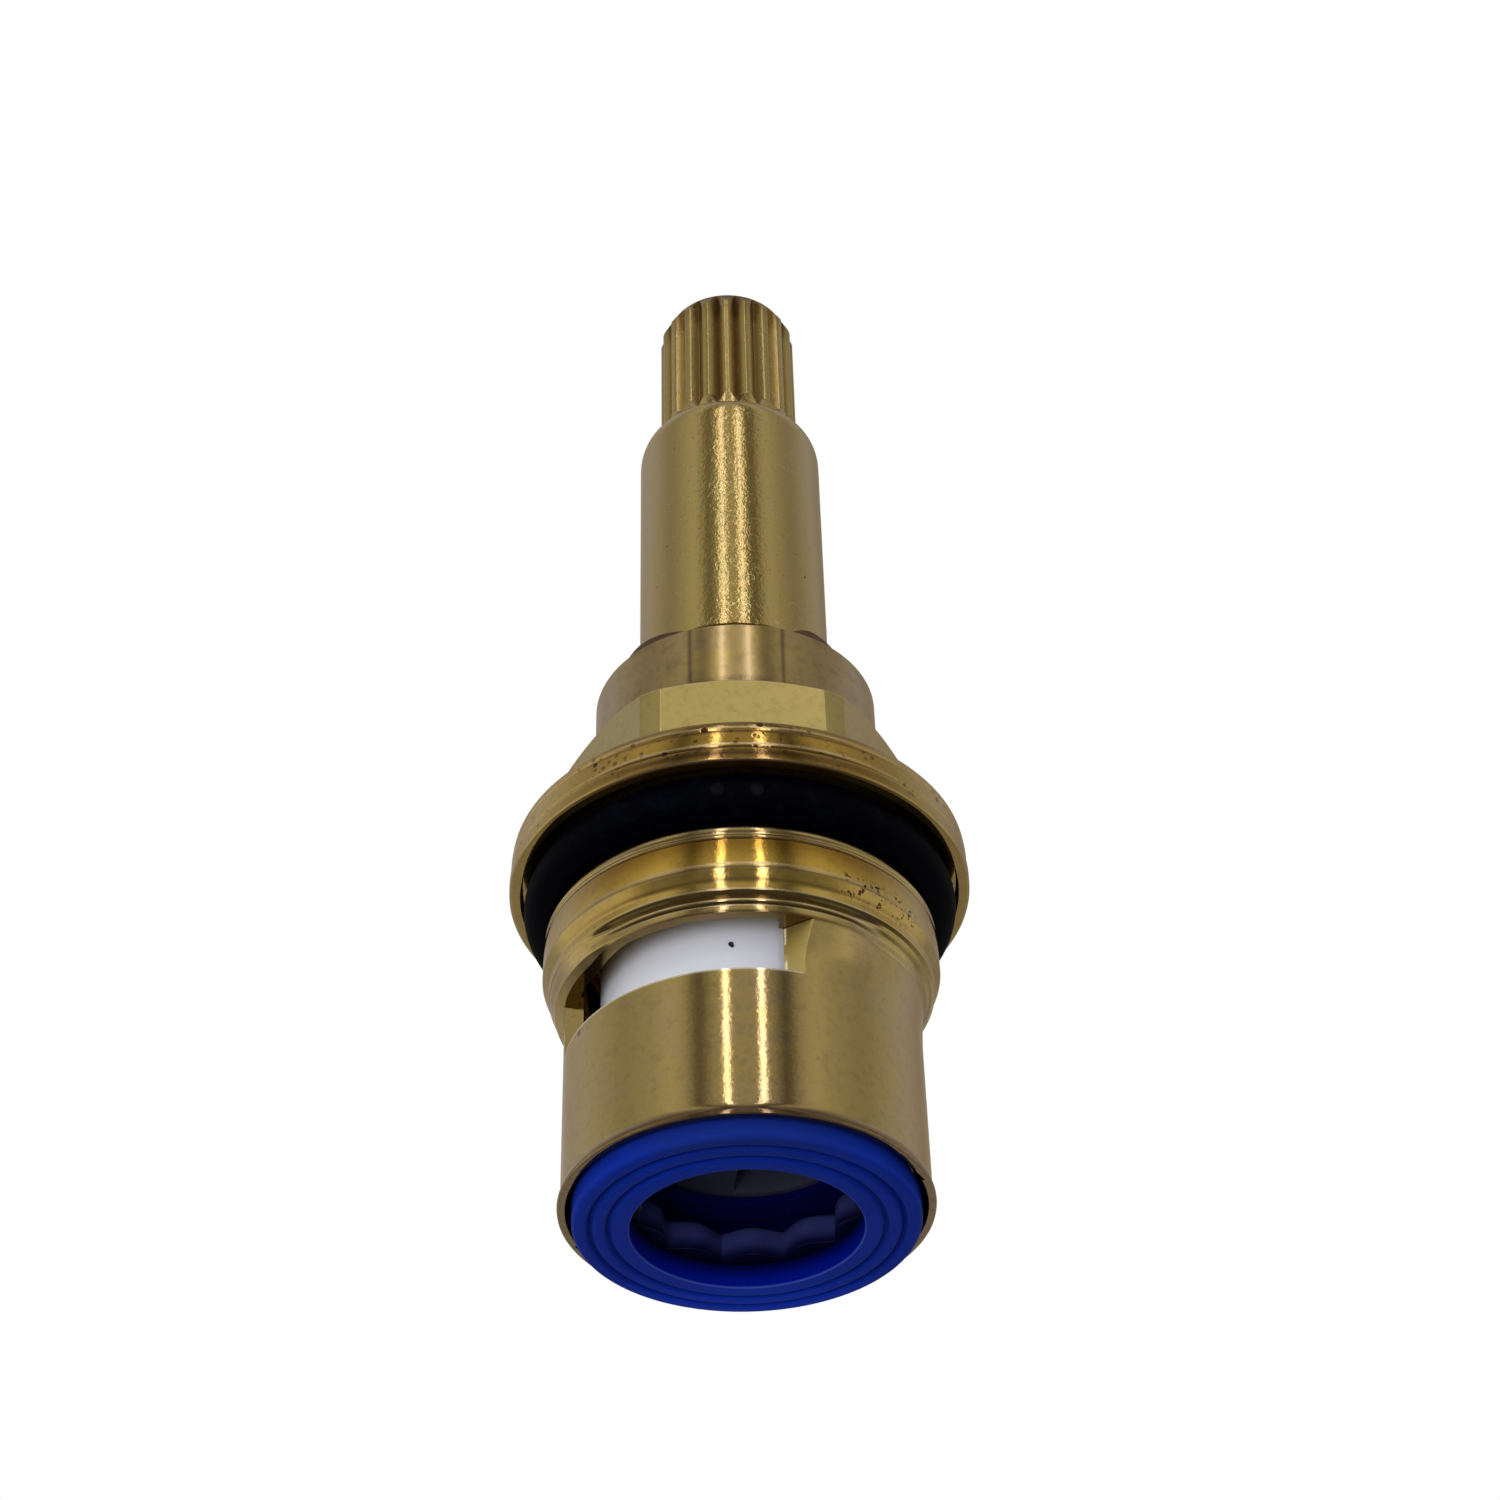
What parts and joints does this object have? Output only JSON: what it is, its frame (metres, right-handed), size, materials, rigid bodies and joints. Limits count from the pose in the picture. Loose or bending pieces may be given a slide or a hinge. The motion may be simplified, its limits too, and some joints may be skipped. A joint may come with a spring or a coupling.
{
  "type": "shower mixer cartridge",
  "caption": "Brass quarter-turn ceramic disc cartridge: splined spindle, hexagon, flange with rubber ring, windowed tube and stepped blue seal with a lobed insert.",
  "frame": {"origin": "middle of the flat ring under the blue seal, on which the cartridge stands", "axes": "+Z along the cartridge's axis, from the seal to the spindle's splined end; -Y towards the viewer of the picture; +X to the viewer's right"},
  "size_m": [0.024, 0.024, 0.062],
  "materials": {
    "body_brass": "turned and milled brass, unplated, with fine tool marks",
    "spindle_brass": "drawn and turned brass, unplated, slightly stained",
    "spring_bronze": "dark spring bronze",
    "white_plastic": "moulded, low friction",
    "black_rubber": "greased moulded rubber",
    "white_ceramic": "ground and lapped, smooth",
    "grey_ceramic": "ground and lapped, smooth",
    "stainless_steel": "stamped sheet",
    "navy_plastic": "moulded, smooth",
    "blue_silicone": "moulded silicone, smooth"
  },
  "bodies": {
    "housing": {"valve_body": "body_brass", "body_o_ring": "black_rubber", "fixed_disc": "grey_ceramic", "seal_support_ring": "stainless_steel", "noise_damper": "navy_plastic", "bottom_seal": "blue_silicone"},
    "spindle_assembly": {"spindle": "spindle_brass", "retaining_clip": "spring_bronze", "thrust_washer": "white_plastic", "stem_o_ring_lower": "black_rubber", "stem_o_ring_upper": "black_rubber", "rotating_disc": "white_ceramic"}
  },
  "joints": [
    {"name": "spindle_turn", "type": "hinge", "parent": "housing", "child": "spindle_assembly", "pos_m": [0, 0, 0.026], "axis": [0, 0, 1], "range_deg": [0, 90]}
  ]
}
